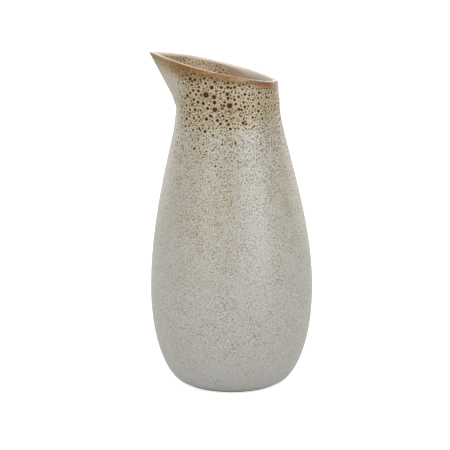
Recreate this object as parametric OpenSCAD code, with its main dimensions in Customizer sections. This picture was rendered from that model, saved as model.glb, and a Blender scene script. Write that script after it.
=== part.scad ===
// Stoneware carafe jug: one fired clay body with a pinched pouring beak, under a coat of
// speckled glaze outside, a liner glaze inside, a thin rust-brown glaze over the lip and a
// glazed panel under the base. The jug has no handle, lid or stopper.
// Millimetres. The origin is the centre of the foot on the table, +Z is up and the beak
// points along -X.

/* [Body] */
// Diameter of the belly at its widest
belly_d = 122; // [102:1:146]
// Height of the belly's widest place above the table
belly_z = 72; // [60:0.5:88]
// Diameter of the neck at its narrowest
neck_d = 76; // [63:0.2:92]
// Height of the neck's narrowest place above the table
neck_z = 210; // [174:0.5:250]
// How far the neck stands off the foot's axis, towards the beak
neck_lean = 2.2; // [0:0.1:5]
// How much narrower the neck is across the beak, where the pinched mouth draws it in
neck_pinch = 3.6; // [0:0.2:8]
// How far below the neck the pinch starts
pinch_drop = 60; // [40:1:80]
// How far the side runs on along the foot's slope before it turns up
foot_run = 8.8; // [6:0.2:14]
// How far the side runs straight down from the belly before it turns in
belly_run_down = 47; // [32:1:56]
// How far the side runs straight up from the belly before it turns in
belly_run_up = 58.5; // [40:0.5:72]
// How far the side runs straight down from the neck before it turns out
neck_run_down = 17; // [10:0.5:24]

/* [Foot] */
// Diameter of the foot ring on the table
foot_d = 74; // [60:1:88]
// Height of the bare foot below the glaze line
foot_h = 1; // [0.8:0.1:2]
// Slope of the side where it leaves the foot, in degrees above level
foot_slope = 4; // [2:1:16]
// Width of the foot ring, from its outside to the hollow
foot_ring_w = 5.5; // [4:0.1:8]
// Depth of the hollow inside the foot ring
foot_hollow = 2.2; // [1.5:0.1:3.5]
// Bevel on the foot's outer edge
foot_bevel = 0.5; // [0.2:0.1:0.9]

/* [Mouth and beak] */
// Height of the beak's tip above the neck
beak_rise = 40.8; // [34:0.2:50]
// Reach of the beak's tip from the neck's own axis
beak_reach = 58.2; // [50:0.2:70]
// How far the beak's front runs straight up from the neck before it leans out
beak_run_low = 1; // [0.5:0.1:4]
// How far the beak's front runs straight before its tip
beak_run_high = 13; // [8:0.5:20]
// Lean of the beak's front at the tip, in degrees from upright
beak_lean = 27; // [16:1:34]
// How sharply the beak comes to a point: 0 is an oval mouth, 1 a straight-sided point
beak_point_share = 0.95; // [0.6:0.01:0.98]
// Height of the back of the lip above the neck
back_rise = 18.8; // [15:0.1:24]
// Reach of the back of the lip from the neck's own axis
back_reach = 36.8; // [30:0.1:42]
// Width of the mouth, measured across the beak
mouth_w = 68; // [56:1:82]

/* [Walls and glazes] */
// Whole thickness of the wall, with both glazes
wall_t = 5; // [4:0.1:6.5]
// Whole thickness of the lip, with its glaze
lip_t = 4.4; // [3.4:0.1:5.4]
// Extra thickness where the two sides of the beak meet at the tip
tip_extra_t = 2; // [0.5:0.1:3]
// Height of the lip's rounding
lip_h = 1.4; // [0.9:0.1:2]
// Thickness of the glaze outside and under the base
glaze_t = 0.4; // [0.3:0.05:0.6]
// Thickness of the liner glaze inside
liner_t = 0.4; // [0.3:0.05:0.6]
// Height of the brown lip glaze at the back of the mouth
lip_band = 2.1; // [1.5:0.1:4]

/* [Hidden] */

// Points round one ring, and steps up each stretch of the wall.
around = 56;
low_steps = 9;
high_steps = 10;
mouth_steps = 8;
lip_steps = 4;
// Facets of the round hollow under the base, and how far a cut overruns the face it opens.
round_fn = 96;
cut_overrun = 1;

belly_r = belly_d / 2;
neck_r = neck_d / 2;
foot_r = foot_d / 2;
hollow_r = foot_r - foot_ring_w;
floor_z = foot_hollow + wall_t;
// The glazed side starts one glaze thickness outside the bare foot.
side_r = foot_r + glaze_t;
// The lip's crest is the rise that the sizes above state, and its rounding starts lower.
tip_edge_rise = beak_rise - lip_h;
back_edge_rise = back_rise - lip_h;
// Level of the lip glaze's lower edge, from 0 at the neck to 1 where the lip starts to round.
band_level = 1 - lip_band / back_edge_rise;
// Colours of the fired clay and of the glazes.
clay_colour = [0.66, 0.58, 0.48];
glaze_colour = [0.73, 0.71, 0.65];
liner_colour = [0.70, 0.67, 0.61];
lip_colour = [0.55, 0.33, 0.18];

// A smooth step from 0 to 1 that starts and ends level.
function ease(u) = u <= 0 ? 0 : u >= 1 ? 1 : u * u * (3 - 2 * u);
function mix(a, b, u) = a + (b - a) * u;

// A cubic curve through four control points, and the direction in which it runs.
function curve(p, u) = pow(1 - u, 3) * p[0] + 3 * pow(1 - u, 2) * u * p[1]
    + 3 * (1 - u) * u * u * p[2] + pow(u, 3) * p[3];
function curve_way(p, u) = pow(1 - u, 2) * (p[1] - p[0]) + 2 * (1 - u) * u * (p[2] - p[1])
    + u * u * (p[3] - p[2]);

// The glazed side, as [radius, height]: from the foot to the belly, then on to the neck.
low_side = [[side_r, foot_h],
            [side_r + foot_run * cos(foot_slope), foot_h + foot_run * sin(foot_slope)],
            [belly_r, belly_z - belly_run_down],
            [belly_r, belly_z]];
high_side = [[belly_r, belly_z],
             [belly_r, belly_z + belly_run_up],
             [neck_r, neck_z - neck_run_down],
             [neck_r, neck_z]];

// Whole wall thickness at the foot, which brings the floor to its height, and along the side.
foot_wall_t = (floor_z - foot_h) / cos(foot_slope);
function low_wall_t(u) = mix(foot_wall_t, wall_t, ease(u));

// A place on the side at a depth below the finished glaze, square to the side.
function side_at(p, u, depth) =
    let (way = curve_way(p, u), off = [way[1], -way[0]] / norm(way))
    curve(p, u) - depth * off;

// The side's own axis moves towards the beak as it rises from the belly to the neck.
function axis_x(z) = -neck_lean * ease((z - belly_z) / (neck_z - belly_z));

// How far the pinch draws each side in, growing from nothing to its whole at the neck.
function pinch_in(z) = neck_pinch / 2 * pow(max(0, 1 - (neck_z - z) / pinch_drop), 2);

// One level ring of the body through a place on the side.
function round_ring(place) = [for (i = [0 : around - 1])
    let (a = 360 * i / around)
    [axis_x(place[1]) + place[0] * cos(a),
     (place[0] - pinch_in(place[1])) * sin(a),
     place[1]]];

// Front and back lines of the mouth, as [reach from the neck's axis, height over the neck].
front_line = [[neck_r, 0],
              [neck_r, beak_run_low],
              [beak_reach - beak_run_high * sin(beak_lean),
               tip_edge_rise - beak_run_high * cos(beak_lean)],
              [beak_reach, tip_edge_rise]];
back_line = [[neck_r, 0],
             [neck_r, back_edge_rise / 3],
             [back_reach, back_edge_rise * 2 / 3],
             [back_reach, back_edge_rise]];

// One tilted ring of the mouth at a level from 0 to 1. inset is its depth below the finished
// outside, and lift raises it for the lip's rounding.
function mouth_ring(level, inset, lift = 0) =
    let (front = curve(front_line, level),
         back = curve(back_line, level),
         front_inset = inset * (1 + level * tip_extra_t / lip_t),
         reach_front = front[0] - front_inset,
         reach_back = back[0] - inset,
         centre = (reach_back - reach_front) / 2,
         half_l = (reach_back + reach_front) / 2,
         half_w = mix(neck_r - pinch_in(neck_z), mouth_w / 2, level) - inset,
         point = beak_point_share * ease(level),
         slope = (front[1] - back[1]) / (front[0] + back[0]))
    [for (i = [0 : around - 1])
        let (a = 360 * i / around,
             x = centre + half_l * cos(a),
             pinch = cos(a) < 0 ? sqrt(1 - point * pow(cos(a), 2)) : 1)
        [x - neck_lean, half_w * sin(a) * pinch, neck_z + back[1] + (back[0] - x) * slope + lift]];

// Whole wall thickness above the neck.
function mouth_wall_t(level) = mix(wall_t, lip_t, level);

// Rings of the outer surface at a depth, from the foot up to the neck.
function outer_side(depth) = concat(
    [for (i = [0 : low_steps - 1]) round_ring(side_at(low_side, i / low_steps, depth))],
    [for (i = [0 : high_steps]) round_ring(side_at(high_side, i / high_steps, depth))]);

// Rings of the inner surface, short of the finished inside by cover, from floor to neck.
function inner_side(cover) = concat(
    [for (i = [0 : low_steps - 1])
        let (u = i / low_steps)
        round_ring(side_at(low_side, u, low_wall_t(u) - cover))],
    [for (i = [0 : high_steps])
        round_ring(side_at(high_side, i / high_steps, wall_t - cover))]);

// Rings above the neck, up to the lip glaze's lower edge.
function outer_neck(depth) = [for (i = [1 : mouth_steps])
    mouth_ring(band_level * i / mouth_steps, depth)];
function inner_neck(cover) = [for (i = [1 : mouth_steps])
    let (level = band_level * i / mouth_steps)
    mouth_ring(level, mouth_wall_t(level) - cover)];

// Rings over the lip, from its outer edge to its inner edge. cover is the depth below the
// glaze all the way round.
function lip_rings(cover) = [for (i = [0 : lip_steps])
    let (a = 180 * i / lip_steps)
    mouth_ring(1, lip_t / 2 - (lip_t / 2 - cover) * cos(a), (lip_h - cover) * sin(a))];

// Backwards order of a list.
function reversed(list) = [for (i = [len(list) - 1 : -1 : 0]) list[i]];

// A skin over rings that run up the outside. A closed run of rings joins its last to its
// first, as a hollow sleeve does, and an open one has a flat cap at each end.
module skin(rings, closed = false) {
    count = len(rings);
    bands = closed ? count : count - 1;
    sides = [for (r = [0 : bands - 1], i = [0 : around - 1])
        let (low = r * around,
             high = ((r + 1) % count) * around,
             next = (i + 1) % around)
        each [[low + i, high + i, low + next],
              [high + i, high + next, low + next]]];
    bottom = [for (i = [0 : around - 1]) i];
    top = [for (i = [around - 1 : -1 : 0]) (count - 1) * around + i];
    polyhedron(points = [for (ring = rings) each ring],
               faces = closed ? sides : concat(sides, [bottom, top]),
               convexity = 6);
}

// Outline of the hollow inside the foot ring, with its wall sloping in at 45 degrees.
module hollow_outline(depth, roof) {
    polygon([[0, depth], [hollow_r - depth, depth], [hollow_r - roof, roof], [0, roof]]);
}

// Fired stoneware: foot ring, floor, wall, neck, beak and lip, all one piece of clay.
module clay_body() {
    foot_rings = [round_ring([foot_r - foot_bevel, 0]), round_ring([foot_r, foot_bevel])];
    color(clay_colour)
    difference() {
        skin(concat(foot_rings, outer_side(glaze_t), outer_neck(glaze_t),
                    lip_rings(glaze_t),
                    reversed(inner_neck(liner_t)), reversed(inner_side(liner_t))));
        rotate_extrude($fn = round_fn) hollow_outline(-cut_overrun, foot_hollow);
    }
}

// Speckled satin glaze on the outside, from the glaze line above the foot to the lip glaze.
module outer_glaze() {
    color(glaze_colour)
    skin(concat(outer_side(0), outer_neck(0),
                reversed(outer_neck(glaze_t)), reversed(outer_side(glaze_t))), closed = true);
}

// Thin iron-brown glaze that wraps the lip from the outside to the inside.
module lip_glaze() {
    color(lip_colour)
    skin(concat([mouth_ring(band_level, 0)], lip_rings(0),
                [mouth_ring(band_level, mouth_wall_t(band_level)),
                 mouth_ring(band_level, mouth_wall_t(band_level) - liner_t)],
                reversed(lip_rings(glaze_t)),
                [mouth_ring(band_level, glaze_t)]), closed = true);
}

// Liner glaze over the floor and up the inside to the lip glaze.
module liner_glaze() {
    color(liner_colour)
    skin(concat(inner_side(liner_t), inner_neck(liner_t),
                reversed(inner_neck(0)), reversed(inner_side(0))));
}

// Glazed panel that fills the roof of the hollow under the base.
module base_glaze() {
    color(glaze_colour)
    rotate_extrude($fn = round_fn) hollow_outline(foot_hollow - glaze_t, foot_hollow);
}

clay_body();
outer_glaze();
lip_glaze();
liner_glaze();
base_glaze();
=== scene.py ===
"""A stoneware carafe jug with a pinched pouring beak, in speckled grey glaze with a rust-brown lip."""

import math

import bpy
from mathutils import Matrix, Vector, noise


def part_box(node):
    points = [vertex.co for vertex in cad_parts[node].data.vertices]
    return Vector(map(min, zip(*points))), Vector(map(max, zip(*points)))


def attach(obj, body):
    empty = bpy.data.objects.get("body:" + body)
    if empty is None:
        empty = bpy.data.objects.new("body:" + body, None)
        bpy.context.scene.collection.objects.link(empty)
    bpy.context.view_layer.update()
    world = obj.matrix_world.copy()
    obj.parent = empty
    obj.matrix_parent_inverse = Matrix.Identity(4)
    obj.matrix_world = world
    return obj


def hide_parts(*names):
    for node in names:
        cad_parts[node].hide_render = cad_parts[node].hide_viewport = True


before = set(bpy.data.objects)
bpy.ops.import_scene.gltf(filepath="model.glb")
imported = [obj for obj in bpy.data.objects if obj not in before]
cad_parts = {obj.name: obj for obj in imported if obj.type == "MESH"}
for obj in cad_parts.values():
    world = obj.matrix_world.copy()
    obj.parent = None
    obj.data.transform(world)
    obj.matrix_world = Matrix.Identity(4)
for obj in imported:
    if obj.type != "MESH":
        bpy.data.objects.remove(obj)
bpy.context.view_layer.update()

# The camera. It stands 1.5 m in front of the jug, a little above it, and looks down at the
# middle of the body with a long lens.
VIEW_DISTANCE = 1.5
VIEW_ELEVATION = math.radians(12.49)
AIM_HEIGHT = 0.125
PHOTO_SIZE = 450
FOCAL_PIXELS = 2001.3
AIM_PIXEL = (231.65, 217.8)
SENSOR = 36.0
NEAREST_SEEN = 0.05

camera = bpy.data.objects.new("camera", bpy.data.cameras.new("camera"))
bpy.context.scene.collection.objects.link(camera)
camera.location = (0, -VIEW_DISTANCE * math.cos(VIEW_ELEVATION),
                   AIM_HEIGHT + VIEW_DISTANCE * math.sin(VIEW_ELEVATION))
camera.rotation_euler = (math.pi / 2 - VIEW_ELEVATION, 0, 0)
camera.data.sensor_width = SENSOR
camera.data.lens = FOCAL_PIXELS / PHOTO_SIZE * SENSOR
camera.data.shift_x = (PHOTO_SIZE / 2 - AIM_PIXEL[0]) / PHOTO_SIZE
camera.data.shift_y = (AIM_PIXEL[1] - PHOTO_SIZE / 2) / PHOTO_SIZE
camera.data.clip_start = NEAREST_SEEN
bpy.context.scene.camera = camera
bpy.context.scene.view_settings.view_transform = "Standard"


# The clay body. One lump of stoneware is turned into a tall egg-shaped pot with a straight
# collar. While it is soft its neck is eased forwards, and the collar is pinched in at the
# sides and drawn out into the beak. It stays bare only at the foot. Sizes are millimetres.
MM = 0.001
BELLY_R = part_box("outer_glaze")[1].y / MM
BELLY_Z = 72
NECK_R = 38
NECK_Z = 210
NECK_LEAN = 2.2
NECK_PINCH = 3.6
PINCH_DROP = 60
FOOT_RUN = 8.8
FOOT_SLOPE = math.radians(4)
BELLY_RUN_DOWN = 47
BELLY_RUN_UP = 58.5
NECK_RUN_DOWN = 17
GLAZE_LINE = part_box("outer_glaze")[0].z / MM
FOOT_R = 37
FOOT_BEVEL = 0.5
HOLLOW_R = 31.5
HOLLOW_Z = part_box("base_glaze")[1].z / MM
MOUTH_W = 68
BEAK_RISE = 40.8
BEAK_REACH = 58.2
BEAK_RUN_LOW = 1
BEAK_RUN_HIGH = 13
BEAK_LEAN = math.radians(27)
BEAK_POINT = 0.95
BACK_RISE = 18.8
BACK_REACH = 36.8
CREASE_OUT = 1.2
CREASE_Z = 211.5
CREASE_DOWN = 26
CREASE_UP = 8
WALL_T = 5
LIP_T = 4.4
TIP_EXTRA_T = 2
LIP_H = 1.4
CREST_H = 1.32
LIP_BAND = 2.1
GLAZE_T = 0.4
COLLAR_H = 30
WOBBLE = 0.2
WOBBLE_LENGTH = 45
AROUND = 64
SIDE_STEPS = 10
COLLAR_STEPS = 9
LIP_STEPS = 8
SMOOTH_LEVELS = 2
SAME_PLACE = MM / 1000
ON_SHARP_RING = MM / 50
SHARP_ANGLE = math.radians(40)

TIP_EDGE = BEAK_RISE - LIP_H
BACK_EDGE = BACK_RISE - LIP_H
BAND_LEVEL = 1 - LIP_BAND / BACK_EDGE
FLOOR_Z = HOLLOW_Z + WALL_T
LOW_SIDE = [Vector(p) for p in (
    (FOOT_R + GLAZE_T, GLAZE_LINE),
    (FOOT_R + GLAZE_T + FOOT_RUN * math.cos(FOOT_SLOPE),
     GLAZE_LINE + FOOT_RUN * math.sin(FOOT_SLOPE)),
    (BELLY_R, BELLY_Z - BELLY_RUN_DOWN),
    (BELLY_R, BELLY_Z))]
HIGH_SIDE = [Vector(p) for p in (
    (BELLY_R, BELLY_Z),
    (BELLY_R, BELLY_Z + BELLY_RUN_UP),
    (NECK_R, NECK_Z - NECK_RUN_DOWN),
    (NECK_R, NECK_Z))]
FRONT_LINE = [Vector(p) for p in (
    (NECK_R, 0),
    (NECK_R, BEAK_RUN_LOW),
    (BEAK_REACH - BEAK_RUN_HIGH * math.sin(BEAK_LEAN),
     TIP_EDGE - BEAK_RUN_HIGH * math.cos(BEAK_LEAN)),
    (BEAK_REACH, TIP_EDGE))]
BACK_LINE = [Vector(p) for p in (
    (NECK_R, 0),
    (NECK_R, BACK_EDGE / 3),
    (BACK_REACH, BACK_EDGE * 2 / 3),
    (BACK_REACH, BACK_EDGE))]


def ease(u):
    u = min(max(u, 0), 1)
    return u * u * (3 - 2 * u)


def mix(a, b, u):
    return a + (b - a) * u


def curve(p, u):
    return (1 - u) ** 3 * p[0] + 3 * (1 - u) ** 2 * u * p[1] + 3 * (1 - u) * u * u * p[2] + u ** 3 * p[3]


def curve_way(p, u):
    way = (1 - u) ** 2 * (p[1] - p[0]) + 2 * (1 - u) * u * (p[2] - p[1]) + u * u * (p[3] - p[2])
    return way.normalized()


def side_points(depth_low, depth_high):
    """The turned side from the foot to the neck, at a depth below the finished outside."""
    points = []
    for line, depth in ((LOW_SIDE, depth_low), (HIGH_SIDE, depth_high)):
        for i in range(SIDE_STEPS + (line is HIGH_SIDE)):
            u = i / SIDE_STEPS
            way = curve_way(line, u)
            points.append(curve(line, u) - depth(u) * Vector((way.y, -way.x)))
    return points


def outer_side(depth):
    return side_points(lambda u: depth, lambda u: depth)


def inner_side(cover):
    foot_wall = (FLOOR_Z - GLAZE_LINE) / math.cos(FOOT_SLOPE)
    return side_points(lambda u: mix(foot_wall, WALL_T, ease(u)) - cover, lambda u: WALL_T - cover)


def collar_points(depth_at, top_level):
    """The straight collar above the neck, up to a level from 0 to 1."""
    levels = [top_level * i / COLLAR_STEPS for i in range(1, COLLAR_STEPS + 1)]
    return [Vector((NECK_R - depth_at(level), NECK_Z + level * COLLAR_H)) for level in levels]


def outer_collar(depth, top_level=1.0):
    return collar_points(lambda level: depth, top_level)


def inner_collar(cover, top_level=1.0):
    return collar_points(lambda level: mix(WALL_T, LIP_T, level) - cover, top_level)


def lip_points(cover):
    """The rounding over the lip, from its outer edge to its inner edge."""
    points = []
    for i in range(1, LIP_STEPS):
        a = math.pi * i / LIP_STEPS
        depth = LIP_T / 2 - (LIP_T / 2 - cover) * math.cos(a)
        points.append(Vector((NECK_R - depth, NECK_Z + COLLAR_H + (CREST_H - cover) * math.sin(a))))
    return points


def throw(name, section, sharp, loop=False):
    """Turns a section, as points of [radius, height], into a smooth closed solid of revolution.

    sharp lists the section's points that keep an edge. A loop's last ring joins its first, and
    an open section starts and ends on the axis.
    """
    count = len(section)
    eased = []
    for i, point in enumerate(section):
        before = section[(i - 1) % count]
        after = section[(i + 1) % count]
        ends = not loop and i in (0, count - 1)
        keep = ends or i in sharp
        eased.append(point if keep else point - (before - 2 * point + after) / 6)
    fuller = 3 / (2 + math.cos(2 * math.pi / AROUND))
    rings = [(point.x * fuller * MM, point.y * MM) for point in eased]
    if not loop:
        rings = rings[1:-1]
    bpy.ops.object.select_all(action="DESELECT")
    bpy.ops.mesh.primitive_circle_add(vertices=AROUND, radius=rings[0][0], location=(0, 0, rings[0][1]),
                                      fill_type="NOTHING" if loop else "TRIFAN")
    pot = bpy.context.object
    pot.name = name
    bpy.ops.object.transform_apply(location=True, rotation=False, scale=False)
    bpy.ops.object.mode_set(mode="EDIT")
    if not loop:
        bpy.ops.mesh.select_all(action="SELECT")
        bpy.ops.mesh.region_to_loop()
    for (radius, height), (next_radius, next_height) in zip(rings, rings[1:] + rings[:1] * loop):
        bpy.ops.mesh.extrude_edges_move(TRANSFORM_OT_translate={"value": (0, 0, next_height - height)})
        size = next_radius / radius
        bpy.ops.transform.resize(value=(size, size, 1), center_override=(0, 0, next_height))
    if loop:
        bpy.ops.mesh.select_all(action="SELECT")
        bpy.ops.mesh.remove_doubles(threshold=SAME_PLACE)
    else:
        bpy.ops.mesh.edge_face_add()
        bpy.ops.mesh.poke()
    bpy.ops.mesh.select_all(action="SELECT")
    bpy.ops.mesh.normals_make_consistent(inside=False)
    bpy.ops.object.mode_set(mode="OBJECT")
    crease = pot.data.attributes.new("crease_edge", "FLOAT", "EDGE")
    sharp_places = [Vector((eased[i].x * fuller, eased[i].y)) * MM for i in sharp]
    for edge in pot.data.edges:
        ends = [pot.data.vertices[v].co for v in edge.vertices]
        places = [Vector((math.hypot(co.x, co.y), co.z)) for co in ends]
        if any((places[0] - spot).length + (places[1] - spot).length < ON_SHARP_RING
               for spot in sharp_places):
            crease.data[edge.index].value = 1.0
    bpy.ops.object.modifier_add(type="SUBSURF")
    pot.modifiers[-1].levels = SMOOTH_LEVELS
    pot.modifiers[-1].render_levels = SMOOTH_LEVELS
    bpy.ops.object.modifier_apply(modifier=pot.modifiers[-1].name)
    return pot


def pull_beak(pot):
    """Eases the neck forwards and draws the collar out into the beak and the slanting lip.

    The beak lies towards lower x. Noise from -1 to 1 sways the sides inwards only, by up to
    WOBBLE.
    """
    for vertex in pot.data.vertices:
        x, y, z = vertex.co / MM
        radius = math.hypot(x, y)
        angle = math.atan2(y, x)
        across, along = math.sin(angle), math.cos(angle)
        sway = noise.noise(Vector((across, along, z / WOBBLE_LENGTH))) - 1
        sway *= WOBBLE / 2 * ease(z / BELLY_Z)
        if z <= NECK_Z:
            lean = NECK_LEAN * ease((z - BELLY_Z) / (NECK_Z - BELLY_Z))
            pinch = NECK_PINCH / 2 * max(0, 1 - (NECK_Z - z) / PINCH_DROP) ** 2
            share = min(1, radius / NECK_R)
            place = Vector(((radius + sway * share) * along - lean,
                            (radius + sway * share - pinch * share) * across, z))
        else:
            level = min((z - NECK_Z) / COLLAR_H, 1)
            lift = max(z - NECK_Z - COLLAR_H, 0)
            depth = NECK_R - radius
            front = curve(FRONT_LINE, level)
            back = curve(BACK_LINE, level)
            reach_front = front.x - depth * (1 + level * TIP_EXTRA_T / LIP_T)
            reach_back = back.x - depth
            half_width = mix(NECK_R - NECK_PINCH / 2, MOUTH_W / 2, level) - depth
            point = BEAK_POINT * ease(level)
            slope = (front.y - back.y) / (front.x + back.x)
            rear = (reach_back - reach_front) / 2 + (reach_back + reach_front) / 2 * along
            narrow = math.sqrt(1 - point * along * along) if along < 0 else 1
            place = Vector((rear - NECK_LEAN + sway * along * (1 - level),
                            half_width * across * narrow + sway * across * (1 - level),
                            NECK_Z + back.y + (back.x - rear) * slope + lift))
        away = place.z - CREASE_Z
        near = ease(1 - abs(away) / (CREASE_UP if away > 0 else CREASE_DOWN))
        place.x -= CREASE_OUT * near * max(0, -along) ** 2 * min(1, radius / NECK_R)
        vertex.co = place * MM
    bpy.ops.object.shade_smooth_by_angle(angle=SHARP_ANGLE)
    return pot


def srgb(red, green, blue):
    """A colour as the eye reads it, from 0 to 255, as the light that a shader works in."""
    shares = [value / 255 for value in (red, green, blue)]
    return [s / 12.92 if s <= 0.04045 else ((s + 0.055) / 1.055) ** 2.4 for s in shares] + [1]


CLAY = srgb(176, 152, 124)
TOASTED_CLAY = srgb(158, 126, 96)
CLAY_GRIT = srgb(96, 70, 50)
CLAY_ROUGHNESS = 0.85
CLAY_SPECULAR = 0.3

section = [Vector((0, HOLLOW_Z)),
           Vector((HOLLOW_R / 2, HOLLOW_Z)),
           Vector((HOLLOW_R - HOLLOW_Z, HOLLOW_Z)),
           Vector((HOLLOW_R, 0)),
           Vector((FOOT_R - FOOT_BEVEL, 0)),
           Vector((FOOT_R, FOOT_BEVEL))]
sharp = [2, 3, 4, 5, len(section)]
section += outer_side(GLAZE_T) + outer_collar(GLAZE_T) + lip_points(GLAZE_T)
section += [Vector((NECK_R - LIP_T + GLAZE_T, NECK_Z + COLLAR_H))]
section += inner_collar(GLAZE_T)[-2::-1] + inner_side(GLAZE_T)[::-1]
section += [Vector((HOLLOW_R, FLOOR_Z - GLAZE_T)), Vector((HOLLOW_R / 2, FLOOR_Z - GLAZE_T)),
            Vector((0, FLOOR_Z - GLAZE_T))]
clay_body = pull_beak(throw("clay_body_thrown", section, sharp))


def make_node(tree, kind, **settings):
    made = tree.nodes.new(kind)
    for name, value in settings.items():
        setattr(made, name, value)
    return made


def feed(tree, socket, value):
    if isinstance(value, bpy.types.NodeSocket):
        tree.links.new(value, socket)
    else:
        socket.default_value = value


def sums(tree, operation, *values):
    made = make_node(tree, "ShaderNodeMath", operation=operation)
    for socket, value in zip(made.inputs, values):
        feed(tree, socket, value)
    return made.outputs[0]


def chain(tree, operation, values):
    """Joins any number of values by one operation."""
    result = values[0]
    for value in values[1:]:
        result = sums(tree, operation, result, value)
    return result


def times(tree, *values):
    return chain(tree, "MULTIPLY", values)


def greatest(tree, *values):
    return chain(tree, "MAXIMUM", values)


def ramp(tree, value, start, end, low=0.0, high=1.0):
    """Runs smoothly from low to high as the value goes from start to end."""
    made = make_node(tree, "ShaderNodeMapRange", interpolation_type="SMOOTHSTEP")
    for socket, setting in zip(made.inputs, (value, start, end, low, high)):
        feed(tree, socket, setting)
    return made.outputs[0]


def tint(tree, share, below, above):
    """Lays one colour over another by a share from 0 to 1."""
    made = make_node(tree, "ShaderNodeMix", data_type="RGBA")
    feed(tree, made.inputs[0], share)
    feed(tree, made.inputs[6], below)
    feed(tree, made.inputs[7], above)
    return made.outputs[2]


def grain(tree, place, size, detail=2.0, roughness=0.5):
    """Soft noise with blotches of about that size in millimetres."""
    made = make_node(tree, "ShaderNodeTexNoise")
    feed(tree, made.inputs["Vector"], place)
    made.inputs["Scale"].default_value = 1 / size
    made.inputs["Detail"].default_value = detail
    made.inputs["Roughness"].default_value = roughness
    return made.outputs["Fac"]


def millimetres(tree):
    """The surface's own place on the jug, in millimetres."""
    place = make_node(tree, "ShaderNodeTexCoord")
    scaled = make_node(tree, "ShaderNodeMapping")
    scaled.inputs["Scale"].default_value = (1 / MM, 1 / MM, 1 / MM)
    tree.links.new(place.outputs["Object"], scaled.inputs["Vector"])
    return scaled.outputs[0]


def new_material(name, roughness, specular):
    material = bpy.data.materials.new(name)
    material.use_nodes = True
    shader = material.node_tree.nodes["Principled BSDF"]
    shader.inputs["Roughness"].default_value = roughness
    shader.inputs["Specular IOR Level"].default_value = specular
    return material, material.node_tree, shader


def add_bump(tree, shader, height):
    """Raises the surface by a height in millimetres."""
    bump = make_node(tree, "ShaderNodeBump")
    bump.inputs["Strength"].default_value = 1
    bump.inputs["Distance"].default_value = MM
    tree.links.new(height, bump.inputs["Height"])
    tree.links.new(bump.outputs[0], shader.inputs["Normal"])


material, tree, shader = new_material("fired_clay", CLAY_ROUGHNESS, CLAY_SPECULAR)
place = millimetres(tree)
grit = grain(tree, place, 0.5, 4, 0.7)
toast = grain(tree, place, 9)
clay = tint(tree, ramp(tree, toast, 0.35, 0.65), CLAY, TOASTED_CLAY)
clay = tint(tree, ramp(tree, grit, 0.58, 0.72), clay, CLAY_GRIT)
tree.links.new(clay, shader.inputs["Base Color"])
add_bump(tree, shader, times(tree, grit, 0.08))
clay_body.data.materials.append(material)
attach(clay_body, "root")
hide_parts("clay_body")


# The outer glaze. The turned pot is dipped in a satin grey glaze that stops just above the
# foot. Iron in the clay bleeds through it as dots, each in a paler ring, thickest on the
# shoulder of the beak, and thins out downwards into fine flecks and warm clouds.
section = outer_side(0) + outer_collar(0, BAND_LEVEL)
edge = len(section) - 1
section += outer_collar(GLAZE_T, BAND_LEVEL)[::-1] + outer_side(GLAZE_T)[::-1]
sharp = (0, edge, edge + 1, len(section) - 1)
outer_glaze = pull_beak(throw("outer_glaze_coat", section, sharp, loop=True))

RIM_SLOPE = (TIP_EDGE - BACK_EDGE) / (BEAK_REACH + BACK_REACH)
RIM_Z = NECK_Z + BACK_RISE + (BACK_REACH - NECK_LEAN) * RIM_SLOPE

SATIN = 0.4
MATT = 0.9
GLAZE_SPECULAR = 0.16
PEEL_SIZE = 2.6
PEEL_DEPTH = 0.05
SPECK_PIT = 0.05

GREY_GLAZE = srgb(191, 190, 185)
TAN_GLAZE = srgb(182, 163, 114)
FOOT_GREY = srgb(191, 190, 188)
DARK_GRIT = srgb(124, 114, 90)
PALE_GRIT = srgb(214, 211, 200)
BROWN_VEIL = srgb(164, 143, 106)
BARE_BEAK_TONE_AND_HIGHLIGHT = srgb(197, 191, 184)
WASH = srgb(158, 135, 97)
FLANK_WASH = srgb(148, 116, 74)
HIGH_BAND_AT_TIP = srgb(148, 120, 80)
HIGH_BAND_ON_FLANK = srgb(136, 100, 58)
HIGH_BAND_ON_SIDE = srgb(166, 122, 74)
HIGH_BAND_AT_BACK = srgb(190, 149, 112)
LOW_BAND_AT_TIP = srgb(146, 120, 82)
LOW_BAND_ON_SIDE = srgb(138, 98, 54)
BAND_STREAK = srgb(138, 92, 48)
RUST = srgb(136, 76, 36)
STAINED_DARK_GRIT = srgb(102, 70, 32)
STAINED_PALE_GRIT = srgb(192, 166, 126)
FINE_RING = srgb(216, 209, 190)
FINE_SPECK = srgb(86, 64, 22)
PALE_RING = srgb(218, 209, 184)
STAIN = srgb(138, 104, 44)
SMALL_DARK = srgb(46, 28, 0)
SMALL_BROWN = srgb(80, 48, 0)
SMALL_EDGE = srgb(112, 80, 18)
MEDIUM_DARK = srgb(50, 26, 0)
MEDIUM_BROWN = srgb(72, 28, 0)
MEDIUM_EDGE = srgb(112, 74, 6)
BLOOM_HALO = srgb(156, 114, 62)
BLOOM_EDGE = srgb(122, 84, 34)
BLOOM_DARK = srgb(42, 20, 0)
BLOOM_HEART = srgb(104, 62, 0)
BACK_CORNER = srgb(160, 139, 122)
PAINTED_RIM_LIGHT_AT_BACK = srgb(212, 203, 193)
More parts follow.
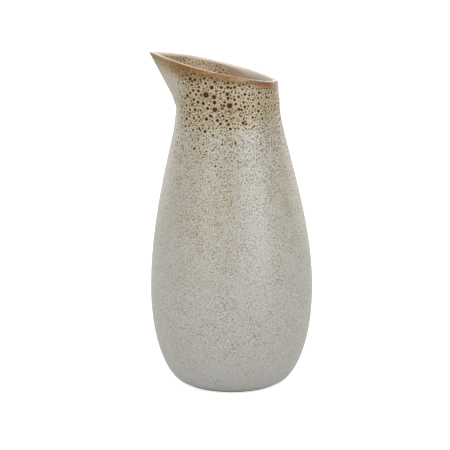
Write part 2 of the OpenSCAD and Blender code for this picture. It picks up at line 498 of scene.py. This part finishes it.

# Dots and blooms on the near side. Each is the pixel across and the pixel down
# at which the camera sees it, and its radius in millimetres. Seven small dots make a row.
DARK_DOTS = [
    (211.7, 87.6, 1.3), (214.5, 102.6, 1.3), (203.2, 103.5, 1.2), (198.1, 102.1, 1.1),
    (193.8, 99.5, 1.1), (207.6, 108.5, 1.1), (191.8, 84.9, 0.9), (205.5, 83.4, 1.0),
    (228.1, 83.0, 0.9), (221.3, 87.6, 1.0), (198.9, 87.2, 0.9), (190.4, 92.9, 0.9),
    (186.6, 105.2, 0.9), (189.9, 109.6, 0.9), (200.9, 110.4, 0.8), (193.9, 118.2, 1.0),
    (198.9, 116.9, 0.9), (206.5, 119.1, 1.2), (217.5, 120.5, 1.1), (226.7, 120.9, 1.0),
    (223.0, 116.1, 0.9), (234.5, 99.8, 1.0), (258.0, 98.1, 0.8), (249.4, 95.4, 0.8),
    (239.6, 85.4, 0.8), (230.3, 129.0, 1.0), (205.2, 131.5, 1.1), (193.0, 130.0, 0.8),
    (222.0, 144.4, 0.7), (194.4, 148.6, 0.9), (198.4, 139.4, 0.7), (196.2, 94.6, 0.9),
    (205.1, 154.8, 0.6), (215.5, 166.3, 0.7)]
DARK_DOTS += [(256.5 + 2.6 * i, 89 - 0.1 * i, 0.6) for i in range(7)]
RUST_BLOOMS = [
    (206.0, 95.0, 2.1), (214.0, 97.2, 1.5), (229.6, 105.8, 1.9), (214.9, 109.8, 1.7),
    (227.3, 94.3, 1.3), (223.9, 105.8, 1.0)]


def on_near_side(spots):
    """Finds where on the glaze each spot is that the camera sees at a pixel."""
    turn = camera.rotation_euler.to_matrix()
    found = []
    for across, down, radius in spots:
        aside = (across - AIM_PIXEL[0]) / FOCAL_PIXELS
        above = (AIM_PIXEL[1] - down) / FOCAL_PIXELS
        way = turn @ Vector((aside, above, -1)).normalized()
        place = outer_glaze.ray_cast(camera.location, way)[1]
        found.append((place / MM, radius))
    return found


def new_group(name, inputs, outputs):
    """A shader group with named inputs and outputs, as (tree, its inputs, its outputs)."""
    tree = bpy.data.node_groups.new(name, "ShaderNodeTree")
    for label, kind in inputs:
        tree.interface.new_socket(name=label, in_out="INPUT", socket_type=kind)
    for label, kind in outputs:
        tree.interface.new_socket(name=label, in_out="OUTPUT", socket_type=kind)
    return tree, make_node(tree, "NodeGroupInput").outputs, make_node(tree, "NodeGroupOutput").inputs


def place_group(tree, group, **values):
    made = make_node(tree, "ShaderNodeGroup", node_tree=group)
    for label, value in values.items():
        feed(tree, made.inputs[label], value)
    return made.outputs


def vectors(tree, operation, *values):
    made = make_node(tree, "ShaderNodeVectorMath", operation=operation)
    for socket, value in zip(made.inputs, values):
        feed(tree, socket, value)
    return made.outputs["Value" if operation in ("DOT_PRODUCT", "DISTANCE") else "Vector"]


def nearest_spot(tree, place, spots):
    """How far the nearest spot's middle is, counted in that spot's own radius."""
    nearest = None
    for middle, radius in spots:
        share = sums(tree, "DIVIDE", vectors(tree, "DISTANCE", place, middle), radius)
        nearest = share if nearest is None else sums(tree, "MINIMUM", nearest, share)
    return nearest


def askew(tree, vector):
    """Turns a direction or place away from the pot's own axes."""
    made = make_node(tree, "ShaderNodeVectorRotate", rotation_type="EULER_XYZ")
    feed(tree, made.inputs["Vector"], vector)
    made.inputs["Rotation"].default_value = (0.6, 0.35, 0.8)
    return made.outputs[0]


def spare(tree, mask, share=1.0):
    """What a mask leaves: 1 off the mask, and less on it by the share."""
    return sums(tree, "MULTIPLY_ADD", mask, -share, 1.0)


def peel(tree, place):
    """The faint unevenness of a fired glaze, as a height."""
    return times(tree, grain(tree, place, PEEL_SIZE, 2), PEEL_DEPTH)


def split_place(tree, place):
    """How far a place lies to the rear, across and up, and how far below the rim's plane."""
    parts = make_node(tree, "ShaderNodeSeparateXYZ")
    tree.links.new(place, parts.inputs[0])
    rear, across, up = parts.outputs
    below_rim = sums(tree, "SUBTRACT", RIM_Z, sums(tree, "MULTIPLY_ADD", rear, RIM_SLOPE, up))
    return rear, across, up, below_rim


def build_specks():
    """Round iron specks, one or none in each cell of the glaze, each with a paler ring.

    The cells lie askew, so that the specks form no rows. Tone is a number from 0 to 1 that
    differs from speck to speck.
    """
    tree, given, out = new_group(
        "iron_specks",
        [("Place", "NodeSocketVector"), ("Cell", "NodeSocketFloat"), ("Radius", "NodeSocketFloat"),
         ("Share", "NodeSocketFloat"), ("Scatter", "NodeSocketFloat")],
        [("Speck", "NodeSocketFloat"), ("Ring", "NodeSocketFloat"), ("Tone", "NodeSocketFloat")])
    place = askew(tree, given["Place"])
    cells = make_node(tree, "ShaderNodeTexVoronoi")
    feed(tree, cells.inputs["Vector"], place)
    feed(tree, cells.inputs["Scale"], sums(tree, "DIVIDE", 1.0, given["Cell"]))
    feed(tree, cells.inputs["Randomness"], given["Scatter"])
    chance = make_node(tree, "ShaderNodeSeparateColor")
    tree.links.new(cells.outputs["Color"], chance.inputs[0])
    away = vectors(tree, "SUBTRACT", place, cells.outputs["Position"])
    outwards = vectors(tree, "NORMALIZE", vectors(tree, "MULTIPLY", given["Place"], (1, 1, 0)))
    depth = vectors(tree, "DOT_PRODUCT", away, askew(tree, outwards))
    gap = sums(tree, "SUBTRACT", vectors(tree, "DOT_PRODUCT", away, away), times(tree, depth, depth))
    gap = sums(tree, "SQRT", sums(tree, "MAXIMUM", gap, 0.0))
    shallow = sums(tree, "LESS_THAN", sums(tree, "ABSOLUTE", depth), times(tree, given["Cell"], 0.45))
    there = times(tree, shallow, sums(tree, "LESS_THAN", chance.outputs[0], given["Share"]))
    size = times(tree, given["Radius"], sums(tree, "MULTIPLY_ADD", chance.outputs[1], 0.5, 0.5))
    share = sums(tree, "DIVIDE", gap, size)
    feed(tree, out["Speck"], times(tree, ramp(tree, share, 1.25, 0.7), there))
    feed(tree, out["Ring"], times(tree, ramp(tree, share, 2.3, 1.3), there))
    feed(tree, out["Tone"], chance.outputs[2])
    return tree


def ragged(tree, place, size, reach):
    """The place moved about by noise, so that a round pattern drawn there has an uneven edge."""
    made = make_node(tree, "ShaderNodeTexNoise")
    feed(tree, made.inputs["Vector"], place)
    made.inputs["Scale"].default_value = 1 / size
    centred = vectors(tree, "SUBTRACT", made.outputs["Color"], (0.5, 0.5, 0.5))
    return vectors(tree, "MULTIPLY_ADD", centred, (reach, reach, reach), place)


iron_specks = build_specks()


def build_outer_colour():
    """Colour, roughness and height of the outer glaze at a place in millimetres."""
    tree, given, out = new_group(
        "outer_glaze_colour",
        [("Place", "NodeSocketVector")],
        [("Color", "NodeSocketColor"), ("Roughness", "NodeSocketFloat"), ("Height", "NodeSocketFloat")])
    place = given["Place"]
    rear, across, up, below_rim = split_place(tree, place)

    # The ground is grey at the foot and tan at the neck, with warm clouds. It is cooler in one
    # broad strip down the near side, a painted sheen laid where the right soft boxes' highlight falls.
    clouds = grain(tree, place, 24)
    patch = ramp(tree, grain(tree, place, 9, 3), 0.36, 0.64)
    warmth = sums(tree, "ADD", ramp(tree, up, 70, 165, 0.03, 0.27), ramp(tree, up, 190, 216, 0.0, 0.66))
    warmth = sums(tree, "ADD", warmth, ramp(tree, clouds, 0.3, 0.7, -0.06, 0.06))
    swing = times(tree, sums(tree, "SUBTRACT", patch, 0.5), ramp(tree, up, 50, 140, 0.1, 0.26))
    warmth = sums(tree, "ADD", warmth, swing)
    middle = times(tree, ramp(tree, rear, -36, -20), ramp(tree, rear, 8, -4))
    warmth = sums(tree, "ADD", warmth, times(tree, middle, ramp(tree, up, 80, 130, 0.0, 0.1)))
    # Painted sheen: the cool strip down the near side, under the right soft boxes' highlight.
    sheen_cool_strip = times(tree, ramp(tree, rear, 3, 11), ramp(tree, rear, 32, 23), ramp(tree, across, -2, -12))
    sheen_cool_strip = times(tree, sheen_cool_strip, ramp(tree, up, 60, 100), ramp(tree, up, 212, 185))
    warmth = sums(tree, "MULTIPLY_ADD", sheen_cool_strip, -0.22, warmth)
    colour = tint(tree, warmth, GREY_GLAZE, TAN_GLAZE)
    colour = tint(tree, ramp(tree, up, 34, 2, 0.0, 0.85), colour, FOOT_GREY)

    # A fine grit of darker and paler grains lies all over it.
    grit = grain(tree, place, 0.7, 2, 0.6)
    grit_depth = times(tree, ramp(tree, patch, 0, 1, 0.75, 1.05), ramp(tree, up, 4, 60, 0.65, 1.05))
    colour = tint(tree, times(tree, ramp(tree, grit, 0.5, 0.3), grit_depth), colour, DARK_GRIT)
    colour = tint(tree, times(tree, ramp(tree, grit, 0.5, 0.7), grit_depth), colour, PALE_GRIT)

    # The neck is browner towards the back, and bare and smooth under the beak.
    veil = times(tree, ramp(tree, up, 198, 213, 0.0, 0.5), ramp(tree, rear, -8, 12))
    colour = tint(tree, veil, colour, BROWN_VEIL)
    bare = times(tree, ramp(tree, up, 180, 204), ramp(tree, rear, -31, -41))
    smooth_highlit_beak = times(tree, bare, ramp(tree, below_rim, 8, 16))
    # Painted paler under the beak: partly the bare glaze's own smooth tone, partly a painted highlight.
    colour = tint(tree, times(tree, smooth_highlit_beak, 0.7), colour, BARE_BEAK_TONE_AND_HIGHLIGHT)

    # A brown wash and a streaky rust band run along under the rim, up to the back.
    along_rim = make_node(tree, "ShaderNodeMapping")
    along_rim.inputs["Scale"].default_value = (0.3, 0.3, 1)
    tree.links.new(place, along_rim.inputs["Vector"])
    streaks = grain(tree, along_rim.outputs[0], 2.4, 3)
    depth = sums(tree, "ADD", below_rim, ramp(tree, streaks, 0.3, 0.7, -0.9, 0.9))
    depth = sums(tree, "ADD", depth, ramp(tree, rear, 0, 18, 0.0, 2.0))
    before_back = ramp(tree, rear, 33, 28)
    flank = times(tree, ramp(tree, rear, -45, -38), ramp(tree, rear, -17, -28))
    washed = sums(tree, "MULTIPLY_ADD", flank, -3.5, depth)
    washed = sums(tree, "ADD", washed, ramp(tree, rear, -46, -57, 0.0, 2.5))
    wash = times(tree, ramp(tree, washed, 10.5, 4.5, 0.0, 0.85), before_back)
    colour = tint(tree, wash, colour, tint(tree, flank, WASH, FLANK_WASH))
    band = times(tree, ramp(tree, depth, 6.6, 4.2), ramp(tree, rear, -50, -42), before_back)
    past_tip = ramp(tree, rear, -43, -36)
    upper = tint(tree, past_tip, HIGH_BAND_AT_TIP, HIGH_BAND_ON_FLANK)
    upper = tint(tree, ramp(tree, rear, -34, -24), upper, HIGH_BAND_ON_SIDE)
    upper = tint(tree, ramp(tree, streaks, 0.42, 0.58), upper, BAND_STREAK)
    upper = tint(tree, ramp(tree, rear, 2, 8), upper, HIGH_BAND_AT_BACK)
    lower = tint(tree, past_tip, LOW_BAND_AT_TIP, LOW_BAND_ON_SIDE)
    rust = tint(tree, ramp(tree, depth, 3.6, 2.4), lower, upper)
    rust = tint(tree, ramp(tree, rear, 11, 17), rust, RUST)
    colour = tint(tree, times(tree, band, 0.95), colour, rust)
    stained = greatest(tree, wash, band)
    dark_grit = times(tree, ramp(tree, grit, 0.52, 0.34, 0.0, 0.75), stained)
    colour = tint(tree, dark_grit, colour, STAINED_DARK_GRIT)
    pale_grit = times(tree, ramp(tree, grit, 0.5, 0.7, 0.0, 0.6), stained)
    colour = tint(tree, pale_grit, colour, STAINED_PALE_GRIT)

    # The dots and blooms that were chosen, and the room that they leave for scattered specks.
    dot_place = ragged(tree, place, 2.0, 0.8)
    spots = nearest_spot(tree, dot_place, on_near_side(DARK_DOTS))
    blooms = nearest_spot(tree, dot_place, on_near_side(RUST_BLOOMS))
    room = times(tree, ramp(tree, spots, 1.7, 2.2), ramp(tree, blooms, 1.3, 1.7))
    spotted = times(tree, spare(tree, bare), ramp(tree, depth, 3.4, 4.8))

    # Medium and small specks thin out downwards, and are smaller towards the back.
    speck_place = ragged(tree, place, 1.6, 0.6)
    taper = ramp(tree, rear, -4, 24, 1.0, 0.8)
    chosen_side = times(tree, ramp(tree, across, 4, -4), ramp(tree, rear, 10, 2))
    medium_share = times(tree, spotted, ramp(tree, up, 190, 217), spare(tree, chosen_side, 0.5))
    medium = place_group(tree, iron_specks, Place=speck_place, Cell=3.6, Radius=times(tree, taper, 1.3),
                         Share=medium_share, Scatter=0.7)
    medium_speck = times(tree, medium["Speck"], room)
    medium_ring = times(tree, medium["Ring"], room)
    room = times(tree, room, spare(tree, medium["Ring"]))
    small_radius = times(tree, taper, ramp(tree, up, 184, 208, 0.74, 0.86))
    small_share = times(tree, spotted, ramp(tree, up, 166, 216))
    small = place_group(tree, iron_specks, Place=speck_place, Cell=2.15, Radius=small_radius,
                        Share=small_share, Scatter=0.88)
    small_speck = times(tree, small["Speck"], room)
    small_ring = times(tree, small["Ring"], room)
    room = times(tree, room, spare(tree, small_ring, 0.8))

    # Fine specks fill what room is left, fainter down the body and on the bare beak.
    strength = sums(tree, "ADD", ramp(tree, up, 100, 165, 0.58, 0.76), ramp(tree, up, 188, 222, 0.0, 0.34))
    strength = times(tree, strength, ramp(tree, patch, 0, 1, 0.75, 1.1), spare(tree, smooth_highlit_beak, 0.75))
    strength = times(tree, strength, ramp(tree, rear, -38, -44, 1.0, 0.4), spare(tree, band, 0.8), room)
    fine = place_group(tree, iron_specks, Place=speck_place, Cell=1.7,
                       Radius=ramp(tree, up, 150, 205, 0.6, 0.8),
                       Share=ramp(tree, up, 40, 190, 0.15, 0.9), Scatter=1.0)
    clear = spare(tree, wash, 0.9)
    colour = tint(tree, times(tree, fine["Ring"], strength, 0.4, clear), colour, FINE_RING)
    colour = tint(tree, times(tree, fine["Speck"], strength), colour, FINE_SPECK)

    # Every larger speck has a pale ring, a brown stain inside it, and a dark middle.
    ring = greatest(tree, times(tree, small_ring, 0.7), times(tree, medium_ring, 0.85),
                    ramp(tree, spots, 2.1, 1.1, 0.0, 0.75))
    colour = tint(tree, times(tree, ring, clear), colour, PALE_RING)
    stain = greatest(tree, ramp(tree, small_ring, 0.8, 1.0, 0.0, 0.4),
                     ramp(tree, medium_ring, 0.8, 1.0, 0.0, 0.6),
                     ramp(tree, spots, 1.6, 1.2, 0.0, 0.55))
    colour = tint(tree, stain, colour, STAIN)
    brown = tint(tree, ramp(tree, small["Tone"], 0.3, 0.9), SMALL_DARK, SMALL_BROWN)
    brown = tint(tree, ramp(tree, small_speck, 0.25, 0.75), SMALL_EDGE, brown)
    colour = tint(tree, times(tree, small_speck, 0.95), colour, brown)
    brown = tint(tree, ramp(tree, medium["Tone"], 0.75, 0.85), MEDIUM_DARK, MEDIUM_BROWN)
    speck = greatest(tree, medium_speck, ramp(tree, spots, 1.32, 0.88))
    brown = tint(tree, ramp(tree, speck, 0.3, 0.85), MEDIUM_EDGE, brown)
    colour = tint(tree, times(tree, speck, 0.98), colour, brown)

    # A bloom is a dark disc with a rusty heart, in a tan halo.
    colour = tint(tree, ramp(tree, blooms, 1.6, 1.1, 0.0, 0.6), colour, BLOOM_HALO)
    bloom = ramp(tree, blooms, 1.2, 0.8)
    disc = tint(tree, ramp(tree, bloom, 0.3, 0.85), BLOOM_EDGE, BLOOM_DARK)
    colour = tint(tree, bloom, colour, disc)
    colour = tint(tree, ramp(tree, blooms, 0.75, 0.3, 0.0, 0.6), colour, BLOOM_HEART)

    # The glaze turns greyer at the corner where the rim turns round the back, and below it a pale
    # strip is painted down the neck's edge there: a painted rim light.
    corner = times(tree, ramp(tree, rear, 27, 32), ramp(tree, below_rim, 6, 3.5))
    colour = tint(tree, corner, colour, BACK_CORNER)
    back_rim_light = times(tree, ramp(tree, rear, 32, 35, 0.0, 0.75), ramp(tree, below_rim, 14, 5))
    colour = tint(tree, back_rim_light, colour, PAINTED_RIM_LIGHT_AT_BACK)

    # Iron specks are matt, and lie in shallow pits.
    feed(tree, out["Color"], colour)
    matt = greatest(tree, speck, small_speck, bloom, times(tree, band, 0.2))
    feed(tree, out["Roughness"], ramp(tree, matt, 0, 1, SATIN, MATT))
    feed(tree, out["Height"], sums(tree, "MULTIPLY_ADD", speck, -SPECK_PIT, peel(tree, place)))
    return tree


outer_colour = build_outer_colour()
material, tree, shader = new_material("speckled_glaze", SATIN, GLAZE_SPECULAR)
look = place_group(tree, outer_colour, Place=millimetres(tree))
tree.links.new(look["Color"], shader.inputs["Base Color"])
tree.links.new(look["Roughness"], shader.inputs["Roughness"])
add_bump(tree, shader, look["Height"])
outer_glaze.data.materials.append(material)
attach(outer_glaze, "root")
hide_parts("outer_glaze")


# The liner glaze. It is poured in, swirled and poured out, and coats the floor and the wall
# up to the lip: grey-beige, browner and dotted behind the beak, smooth at the back.
section = [Vector((0, FLOOR_Z)), Vector((HOLLOW_R / 2, FLOOR_Z)), Vector((HOLLOW_R, FLOOR_Z))]
section += inner_side(0) + inner_collar(0, BAND_LEVEL)
edge = len(section) - 1
section += inner_collar(GLAZE_T, BAND_LEVEL)[::-1] + inner_side(GLAZE_T)[::-1]
section += [Vector((HOLLOW_R, FLOOR_Z - GLAZE_T)), Vector((HOLLOW_R / 2, FLOOR_Z - GLAZE_T)),
            Vector((0, FLOOR_Z - GLAZE_T))]
liner_glaze = pull_beak(throw("liner_glaze_coat", section, (edge, edge + 1)))

LINER_ROUGHEST = 0.48
LINER_BEIGE = srgb(204, 176, 149)
LINER_PALE = srgb(208, 184, 161)
LINER_LIT_AT_BACK = srgb(218, 198, 184)
LINER_BEHIND_BEAK = srgb(204, 179, 144)
LINER_AT_TIP = srgb(178, 154, 116)
LINER_RING = srgb(220, 206, 180)
LINER_DOT = srgb(64, 40, 12)
LINER_DUST = srgb(104, 74, 36)
CREAM_EDGE = srgb(222, 208, 178)
WHITE_EDGE_HIGHLIGHT = srgb(250, 246, 228)


def build_inner_colour():
    """Colour, roughness and height of the liner glaze at a place in millimetres."""
    tree, given, out = new_group(
        "liner_glaze_colour",
        [("Place", "NodeSocketVector")],
        [("Color", "NodeSocketColor"), ("Roughness", "NodeSocketFloat"), ("Height", "NodeSocketFloat")])
    place = given["Place"]
    rear, _, _, below_rim = split_place(tree, place)

    # The ground is paler towards the back, a painted light on the inside wall there, and
    # browner behind the beak.
    clouds = grain(tree, place, 11, 3)
    colour = tint(tree, ramp(tree, clouds, 0.35, 0.65), LINER_BEIGE, LINER_PALE)
    colour = tint(tree, ramp(tree, rear, 0, 14), colour, LINER_LIT_AT_BACK)
    beak = sums(tree, "ADD", rear, ramp(tree, clouds, 0.3, 0.7, -5, 5))
    colour = tint(tree, ramp(tree, beak, -2, -24), colour, LINER_BEHIND_BEAK)
    colour = tint(tree, ramp(tree, beak, -28, -40), colour, LINER_AT_TIP)

    # Dots with pale rings and finer dust lie behind the beak, and stop short of its tip.
    dots = times(tree, ramp(tree, rear, 5, -5), ramp(tree, rear, -54, -44))
    fine = place_group(tree, iron_specks, Place=ragged(tree, place, 1.6, 0.4), Cell=1.9, Radius=0.74,
                       Share=1.0, Scatter=0.8)
    colour = tint(tree, times(tree, fine["Ring"], dots, 0.4), colour, LINER_RING)
    colour = tint(tree, times(tree, fine["Speck"], dots, 0.9), colour, LINER_DOT)
    grainy = times(tree, ramp(tree, beak, -14, -32, 0.0, 0.6), ramp(tree, rear, -56, -50))
    dust = place_group(tree, iron_specks, Place=ragged(tree, place, 1.2, 0.4), Cell=1.3, Radius=0.55,
                       Share=0.85, Scatter=1.0)
    colour = tint(tree, times(tree, dust["Speck"], grainy), colour, LINER_DUST)

    # It thins to cream at the rim, and to near white at the back: partly thin glaze, partly a
    # painted highlight on the inside of the lip.
    thin_and_lit_rim = times(tree, below_rim, ramp(tree, rear, -14, 15, 2.4, 0.8))
    rim_cream_and_highlight = tint(tree, ramp(tree, rear, -34, -8), CREAM_EDGE, WHITE_EDGE_HIGHLIGHT)
    colour = tint(tree, ramp(tree, thin_and_lit_rim, 5.5, 1.5), colour, rim_cream_and_highlight)
    feed(tree, out["Color"], colour)
    feed(tree, out["Roughness"], ramp(tree, clouds, 0.3, 0.7, SATIN, LINER_ROUGHEST))
    feed(tree, out["Height"], peel(tree, place))
    return tree


inner_colour = build_inner_colour()
material, tree, shader = new_material("liner_glaze", SATIN, GLAZE_SPECULAR)
look = place_group(tree, inner_colour, Place=millimetres(tree))
tree.links.new(look["Color"], shader.inputs["Base Color"])
tree.links.new(look["Roughness"], shader.inputs["Roughness"])
add_bump(tree, shader, look["Height"])
liner_glaze.data.materials.append(material)
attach(liner_glaze, "root")
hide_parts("liner_glaze")


# The lip glaze. On the sharp lip the glaze runs thin: it breaks to cream along the crest and
# to rust brown just under it, where the iron of the clay comes through. The crest's cream is
# partly a painted highlight, and all painted highlight where it goes near white at the tip
# and at the back.
section = [Vector((NECK_R, NECK_Z + BAND_LEVEL * COLLAR_H)), Vector((NECK_R, NECK_Z + COLLAR_H))]
section += lip_points(0)
section += [Vector((NECK_R - LIP_T, NECK_Z + COLLAR_H))]
band_wall = mix(WALL_T, LIP_T, BAND_LEVEL)
section += [Vector((NECK_R - band_wall, NECK_Z + BAND_LEVEL * COLLAR_H)),
            Vector((NECK_R - band_wall + GLAZE_T, NECK_Z + BAND_LEVEL * COLLAR_H)),
            Vector((NECK_R - LIP_T + GLAZE_T, NECK_Z + COLLAR_H))]
foot_of_band = len(section) - 2
section += lip_points(GLAZE_T)[::-1]
section += [Vector((NECK_R - GLAZE_T, NECK_Z + COLLAR_H)),
            Vector((NECK_R - GLAZE_T, NECK_Z + BAND_LEVEL * COLLAR_H))]
sharp = (0, foot_of_band - 1, foot_of_band, len(section) - 1)
lip_glaze = pull_beak(throw("lip_glaze_coat", section, sharp, loop=True))

LIP_CREAM = srgb(232, 203, 163)
TIP_CREAM_HIGHLIGHT = srgb(248, 240, 220)
BACK_CREAM_HIGHLIGHT = srgb(255, 251, 244)
material, tree, shader = new_material("lip_glaze", SATIN, GLAZE_SPECULAR)
place = millimetres(tree)
outside = place_group(tree, outer_colour, Place=place)
inside = place_group(tree, inner_colour, Place=place)
facing = make_node(tree, "ShaderNodeTexCoord")
unit = vectors(tree, "NORMALIZE", vectors(tree, "MULTIPLY", place, (1, 1, 0)))
turned = vectors(tree, "DOT_PRODUCT", facing.outputs["Normal"], unit)
outer_share = ramp(tree, turned, -0.3, 0.3)
colour = tint(tree, outer_share, inside["Color"], outside["Color"])
rear = split_place(tree, place)[0]
# Painted highlight: the crest goes near white at the tip and at the back, and is wider at the back.
cream = tint(tree, ramp(tree, rear, -46, -55), LIP_CREAM, TIP_CREAM_HIGHLIGHT)
cream = tint(tree, ramp(tree, rear, 10, 22), cream, BACK_CREAM_HIGHLIGHT)
upright = sums(tree, "ADD", turned, ramp(tree, grain(tree, place, 2.2), 0.3, 0.7, -0.1, 0.1))
steep = sums(tree, "SUBTRACT", sums(tree, "ABSOLUTE", upright), ramp(tree, rear, 6, 22, 0.0, 0.12))
crest = ramp(tree, steep, 0.5, 0.2)
colour = tint(tree, times(tree, crest, 0.92), colour, cream)
tree.links.new(colour, shader.inputs["Base Color"])
tree.links.new(outside["Roughness"], shader.inputs["Roughness"])
add_bump(tree, shader, outside["Height"])
lip_glaze.data.materials.append(material)
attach(lip_glaze, "root")
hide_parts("lip_glaze")


# The base glaze. The hollow inside the foot ring is brushed with the same grey glaze, and
# the ring round it is wiped bare so that the jug doesn't stick to the kiln shelf.
panel_r = HOLLOW_R - HOLLOW_Z
base_low, base_high = (end.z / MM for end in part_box("base_glaze"))
section = [Vector((0, base_low)), Vector((panel_r / 2, base_low)), Vector((panel_r, base_low)),
           Vector((panel_r, base_high)), Vector((panel_r / 2, base_high)), Vector((0, base_high))]
base_glaze = throw("base_glaze_coat", section, (2, 3))
bpy.ops.object.shade_smooth_by_angle(angle=SHARP_ANGLE)

BASE_GREY = srgb(182, 180, 174)
BASE_STREAK = srgb(168, 162, 150)
BASE_SPECK = srgb(70, 52, 26)
PANEL_OUT = 500
material, tree, shader = new_material("base_glaze", SATIN, GLAZE_SPECULAR)
place = millimetres(tree)
streaks = grain(tree, place, 7, 3)
colour = tint(tree, ramp(tree, streaks, 0.35, 0.65), BASE_GREY, BASE_STREAK)

# Specks come out round on a wall that faces outwards, so for them the panel is stood up as a
# wall, far enough out to be nearly flat.
rear, across = split_place(tree, place)[:2]
stood_up = make_node(tree, "ShaderNodeCombineXYZ")
for socket, value in zip(stood_up.inputs, (PANEL_OUT, rear, across)):
    feed(tree, socket, value)
specks = place_group(tree, iron_specks, Place=ragged(tree, stood_up.outputs[0], 1.6, 0.7), Cell=3.4,
                     Radius=0.8, Share=0.9, Scatter=0.9)
colour = tint(tree, times(tree, specks["Speck"], 0.7), colour, BASE_SPECK)
tree.links.new(colour, shader.inputs["Base Color"])
add_bump(tree, shader, peel(tree, place))
base_glaze.data.materials.append(material)
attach(base_glaze, "root")
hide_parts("base_glaze")


# The floor and the light: a white sweep with soft studio light from all round. Three fill
# lamps shade the body gently, and two low ones behind it lighten its edges. Tall soft boxes
# lay an upright sheen on it. In gloss the room in front is darker than the backdrop.
FLOOR_SIZE = 6
FLOOR_DROP = 0.0002
FLOOR_GLOW = 0.7
FLOOR_GLOW_IN_GLOSS = 0.2
WORLD_LEVEL = 0.57
ROOM_IN_GLOSS = 0.2
FLOOR_WHITE = srgb(232, 232, 232)
FLOOR_ROUGHNESS = 0.9
FLOOR_SPECULAR = 0.2
WHITE = (1, 1, 1, 1)
LAMP_AIM = Vector((0, 0, 0.14))
FILL = (0.8, 0.8)
SOFT_BOX = (0.25, 1.2)
RIM_BOX = (0.4, 0.9)

bpy.ops.object.select_all(action="DESELECT")
bpy.ops.mesh.primitive_plane_add(size=FLOOR_SIZE, location=(0, 0, -FLOOR_DROP))
floor = bpy.context.object
floor.name = "floor"
material, tree, shader = new_material("white_floor", FLOOR_ROUGHNESS, FLOOR_SPECULAR)
shader.inputs["Base Color"].default_value = FLOOR_WHITE
shader.inputs["Emission Color"].default_value = WHITE
seen = make_node(tree, "ShaderNodeLightPath")
mirrored = greatest(tree, seen.outputs["Is Glossy Ray"], seen.outputs["Is Transmission Ray"])
glow = sums(tree, "MULTIPLY_ADD", seen.outputs["Is Camera Ray"], FLOOR_GLOW,
            times(tree, mirrored, FLOOR_GLOW_IN_GLOSS))
tree.links.new(glow, shader.inputs["Emission Strength"])
floor.data.materials.append(material)

world = bpy.data.worlds.new("studio")
bpy.context.scene.world = world
world.use_nodes = True
tree = world.node_tree
plain = tree.nodes["Background"]
plain.inputs["Color"].default_value = WHITE
plain.inputs["Strength"].default_value = WORLD_LEVEL
white = make_node(tree, "ShaderNodeBackground")
white.inputs["Color"].default_value = WHITE
seen = make_node(tree, "ShaderNodeLightPath")
mirrored = greatest(tree, seen.outputs["Is Glossy Ray"], seen.outputs["Is Transmission Ray"])
way = make_node(tree, "ShaderNodeTexCoord")
way_parts = make_node(tree, "ShaderNodeSeparateXYZ")
tree.links.new(way.outputs["Generated"], way_parts.inputs[0])
behind = ramp(tree, way_parts.outputs[1], -0.3, 0.3, ROOM_IN_GLOSS, 1.0)
tree.links.new(greatest(tree, behind, seen.outputs["Is Camera Ray"]), white.inputs["Strength"])
either = make_node(tree, "ShaderNodeMixShader")
tree.links.new(greatest(tree, seen.outputs["Is Camera Ray"], mirrored), either.inputs[0])
tree.links.new(plain.outputs[0], either.inputs[1])
tree.links.new(white.outputs[0], either.inputs[2])
tree.links.new(either.outputs[0], tree.nodes["World Output"].inputs["Surface"])


def add_lamp(name, place, size, power, sheen):
    """An area lamp aimed at the shoulder, which gives either the sheen or the soft fill."""
    lamp = bpy.data.objects.new(name, bpy.data.lights.new(name, "AREA"))
    bpy.context.scene.collection.objects.link(lamp)
    lamp.data.shape = "RECTANGLE"
    lamp.data.size, lamp.data.size_y = size
    lamp.data.energy = power
    lamp.location = place
    lamp.rotation_euler = (LAMP_AIM - Vector(place)).to_track_quat("-Z", "Y").to_euler()
    lamp.visible_diffuse = not sheen
    lamp.visible_glossy = sheen


add_lamp("left_fill", (-0.585, -1.012, 0.815), FILL, 4.2, sheen=False)
add_lamp("right_fill", (1.012, -0.585, 0.815), FILL, 3.4, sheen=False)
add_lamp("top_fill", (0.0, -0.45, 1.25), FILL, 1.2, sheen=False)
add_lamp("left_rim_fill", (-0.85, 1.2, 0.2), FILL, 5.2, sheen=False)
add_lamp("right_rim_fill", (0.85, 1.2, 0.2), FILL, 5.2, sheen=False)
add_lamp("left_soft_box", (-0.774, -1.106, 0.6), SOFT_BOX, 13, sheen=True)
add_lamp("right_near_soft_box", (0.675, -1.169, 0.6), SOFT_BOX, 13.7, sheen=True)
add_lamp("right_far_soft_box", (1.034, -0.868, 0.6), SOFT_BOX, 20, sheen=True)
add_lamp("left_rim_box", (-0.95, 1.1, 0.3), RIM_BOX, 2.6, sheen=True)
add_lamp("right_rim_box", (0.95, 1.1, 0.3), RIM_BOX, 2.6, sheen=True)
